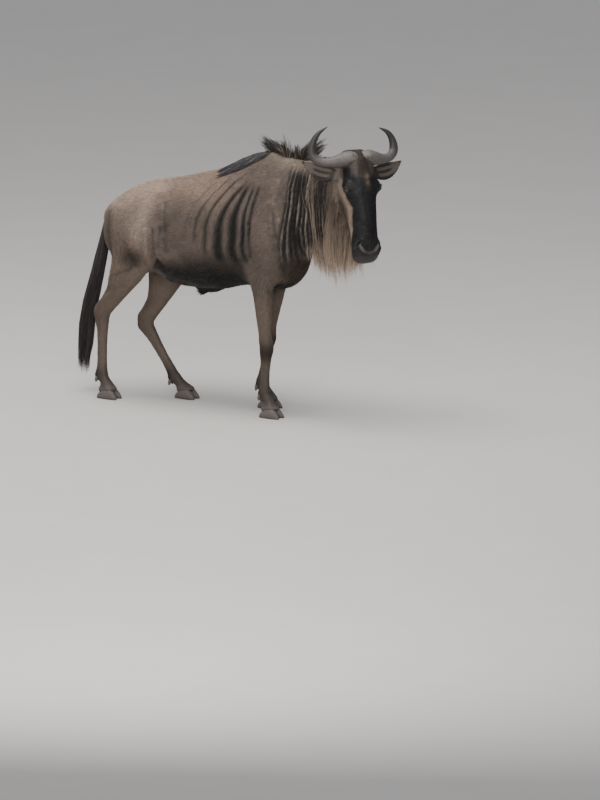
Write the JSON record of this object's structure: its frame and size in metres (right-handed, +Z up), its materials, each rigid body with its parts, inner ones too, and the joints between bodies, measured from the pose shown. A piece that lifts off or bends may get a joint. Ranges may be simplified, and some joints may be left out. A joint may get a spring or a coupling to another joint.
{
  "type": "wildebeest",
  "caption": "Life-size standing wildebeest bull, head turned to its right, with curved horns, mane, pale beard and black tail.",
  "frame": {"origin": "middle of the bounding box at the level of the soles", "axes": "+X from tail to head along the trunk, +Y to the animal's left, +Z up"},
  "size_m": [1.8166, 0.494, 1.4905],
  "materials": {
    "hide": "short flat greyish-brown coat, black on the face",
    "horn": "grey-brown horn, rough at the boss, smooth and dark to the tips",
    "hoof": "dull grey-brown hoof with dried mud",
    "eye": "wet dark brown, glossy",
    "dark_hair": "long coarse black hair with a soft sheen",
    "pale_hair": "long fine straw-coloured hair"
  },
  "bodies": {
    "root": {"horn_right": "horn", "eye_right": "eye", "ear_right": "hide", "horn_left": "horn", "eye_left": "eye", "ear_left": "hide", "foot_fore_right_outer_hoof": "hoof", "foot_fore_right_outer_dewclaw": "hoof", "foot_fore_right_inner_hoof": "hoof", "foot_fore_right_inner_dewclaw": "hoof", "foot_fore_left_outer_hoof": "hoof", "foot_fore_left_outer_dewclaw": "hoof", "foot_fore_left_inner_hoof": "hoof", "foot_fore_left_inner_dewclaw": "hoof", "foot_hind_right_outer_hoof": "hoof", "foot_hind_right_outer_dewclaw": "hoof", "foot_hind_right_inner_hoof": "hoof", "foot_hind_right_inner_dewclaw": "hoof", "foot_hind_left_outer_hoof": "hoof", "foot_hind_left_outer_dewclaw": "hoof", "foot_hind_left_inner_hoof": "hoof", "foot_hind_left_inner_dewclaw": "hoof", "mane": "dark_hair", "beard": "pale_hair", "tail_hair": "dark_hair", "head": "hide", "neck": "hide", "tail_dock": "hide", "leg_fore_right_lower": "hide", "leg_fore_right_upper": "hide", "leg_fore_left_lower": "hide", "leg_fore_left_upper": "hide", "leg_hind_right_lower": "hide", "leg_hind_right_upper": "hide", "leg_hind_left_lower": "hide", "leg_hind_left_upper": "hide", "chest": "hide", "rump": "hide", "barrel": "hide"}
  },
  "joints": []
}
